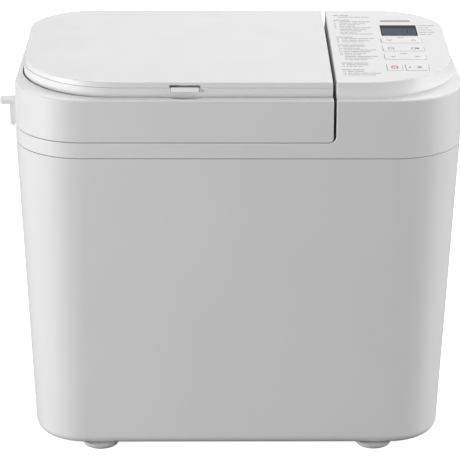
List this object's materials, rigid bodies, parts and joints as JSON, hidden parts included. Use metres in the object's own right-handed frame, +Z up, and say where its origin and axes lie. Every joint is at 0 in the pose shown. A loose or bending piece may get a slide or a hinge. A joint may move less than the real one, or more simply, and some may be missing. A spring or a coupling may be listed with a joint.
{
  "type": "bread machine",
  "caption": "White household bread machine with a hinged lid and dispenser cover, a key console on the right, an oven with a bread pan and kneading blade, and a belt drive below.",
  "frame": {"origin": "on the table, under the middle of the body's plan, level with the soles of the feet", "axes": "+Z up; the front, with the cover's latch, faces -Y; the console is at +X and the lid's grip at -X"},
  "size_m": [0.4216, 0.252, 0.3624],
  "materials": {
    "white_shell": "fine satin moulding",
    "white_key": "smooth satin",
    "white_inner": "plain moulding",
    "foot_rubber": "matte",
    "black_plastic": "plain moulding",
    "display_window": "clear, slightly tinted",
    "display_module": "glossy",
    "circuit_board": "lacquered",
    "pin_steel": "ground",
    "screw_steel": "zinc plated",
    "liner_steel": "pressed sheet",
    "silicone": "soft, matte",
    "flap_steel": "pressed sheet",
    "heater_sheath": "oxidised sheath",
    "probe": "drawn tube",
    "nonstick_coating": "dark non-stick coating",
    "cast_alloy": "die cast",
    "bush_brass": "turned",
    "motor_iron": "laminated and lacquered",
    "mount_rubber": "matte",
    "belt_rubber": "ribbed, matte",
    "capacitor_can": "potted case",
    "chassis_zinc": "galvanised sheet"
  },
  "bodies": {
    "base": {"lower_housing": "white_shell", "base_plate": "white_inner", "base_screws": "screw_steel", "foot_front_left": "foot_rubber", "foot_front_right": "foot_rubber", "foot_rear_left": "foot_rubber", "foot_rear_right": "foot_rubber", "cord_gland": "black_plastic", "upper_housing": "white_shell", "hinge_pins": "pin_steel", "display_lens": "display_window", "lcd_module": "display_module", "control_board": "circuit_board", "key_switches": "black_plastic", "key_fulcrums": "white_inner", "oven_chamber": "liner_steel", "heater_element": "heater_sheath", "heater_brackets": "liner_steel", "temp_sensor": "probe", "pan_socket": "liner_steel", "shaft_bearing": "cast_alloy", "motor_body": "motor_iron", "motor_grommets": "mount_rubber", "motor_capacitor": "capacitor_can", "chassis_frame": "chassis_zinc", "heat_shield": "liner_steel", "power_board": "circuit_board", "power_relays": "black_plastic", "transformer": "motor_iron", "drive_belt": "belt_rubber"},
    "lid": {"lid_shell": "white_shell", "lid_liner": "liner_steel", "liner_screws": "screw_steel", "lid_gasket": "silicone", "lid_grip": "white_shell", "dispenser_box": "white_inner", "flap_magnet": "flap_steel", "cover_hinge_pins": "pin_steel"},
    "flap": {"dispenser_flap": "flap_steel"},
    "cover": {"cover_panel": "white_shell", "cover_frame": "white_shell"},
    "latch": {"cover_latch": "white_key"},
    "pan": {"bread_pan": "nonstick_coating", "pan_ring": "cast_alloy", "pan_bushing": "bush_brass"},
    "bail": {"pan_handle": "pin_steel"},
    "kneader": {"pan_shaft": "pin_steel", "kneading_blade": "nonstick_coating"},
    "drive": {"drive_shaft": "pin_steel", "drive_coupler": "cast_alloy", "drive_pulley": "white_inner"},
    "rotor": {"motor_shaft": "pin_steel", "motor_pulley": "black_plastic", "motor_fan": "black_plastic"},
    "select_rocker": {"select_key": "white_key"},
    "options_rocker": {"options_key": "white_key"},
    "timer_rocker": {"timer_key": "white_key"},
    "stop_button": {"stop_key": "white_key"},
    "start_button": {"start_key": "white_key"}
  },
  "joints": [
    {"name": "lid_hinge", "type": "hinge", "parent": "base", "child": "lid", "pos_m": [-0.06, 0.1216, 0.315], "axis": [-1, 0, 0], "range_deg": [0, 85]},
    {"name": "cover_hinge", "type": "hinge", "parent": "lid", "child": "cover", "pos_m": [-0.055, 0.1203, 0.3496], "axis": [-1, 0, 0], "range_deg": [0, 75]},
    {"name": "cover_latch_pivot", "type": "hinge", "parent": "cover", "child": "latch", "pos_m": [-0.0489, -0.107, 0.351], "axis": [-1, 0, 0], "range_deg": [0, 10], "stiffness_Nm_per_rad": 0.02},
    {"name": "flap_hinge", "type": "hinge", "parent": "lid", "child": "flap", "pos_m": [-0.06, 0.0816, 0.3159], "axis": [1, 0, 0], "range_deg": [0, 80]},
    {"name": "pan_twist", "type": "hinge", "parent": "base", "child": "pan", "pos_m": [-0.06, -0.002, 0.08], "axis": [0, 0, 1], "range_deg": [0, 14]},
    {"name": "bail_hinge", "type": "hinge", "parent": "pan", "child": "bail", "pos_m": [-0.06, -0.002, 0.2346], "axis": [1, 0, 0], "range_deg": [0, 180]},
    {"name": "drive_spin", "type": "hinge", "parent": "base", "child": "drive", "pos_m": [-0.06, -0.002, 0.05], "axis": [0, 0, 1], "continuous": true},
    {"name": "kneader_spin", "type": "hinge", "parent": "pan", "child": "kneader", "pos_m": [-0.06, -0.002, 0.1], "axis": [0, 0, 1], "continuous": true},
    {"name": "motor_spin", "type": "hinge", "parent": "base", "child": "rotor", "pos_m": [0.135, 0.005, 0.1], "axis": [0, 0, 1], "continuous": true},
    {"name": "select_rock", "type": "hinge", "parent": "base", "child": "select_rocker", "pos_m": [0.154, 0.016, 0.3543], "axis": [0, 1, 0], "range_deg": [-1, 1], "stiffness_Nm_per_rad": 1.5},
    {"name": "options_rock", "type": "hinge", "parent": "base", "child": "options_rocker", "pos_m": [0.154, -0.01, 0.3543], "axis": [0, 1, 0], "range_deg": [-1, 1], "stiffness_Nm_per_rad": 1.5},
    {"name": "timer_rock", "type": "hinge", "parent": "base", "child": "timer_rocker", "pos_m": [0.154, -0.036, 0.3543], "axis": [0, 1, 0], "range_deg": [-1, 1], "stiffness_Nm_per_rad": 1.5},
    {"name": "stop_press", "type": "slide", "parent": "base", "child": "stop_button", "axis": [0, 0, -1], "range_m": [0, 0.0008], "stiffness_N_per_m": 400},
    {"name": "start_press", "type": "slide", "parent": "base", "child": "start_button", "axis": [0, 0, -1], "range_m": [0, 0.0008], "stiffness_N_per_m": 400}
  ],
  "couplings": [
    {"joint": "kneader_spin", "follows": "drive_spin", "ratio": 1},
    {"joint": "motor_spin", "follows": "drive_spin", "ratio": 6.3774}
  ]
}
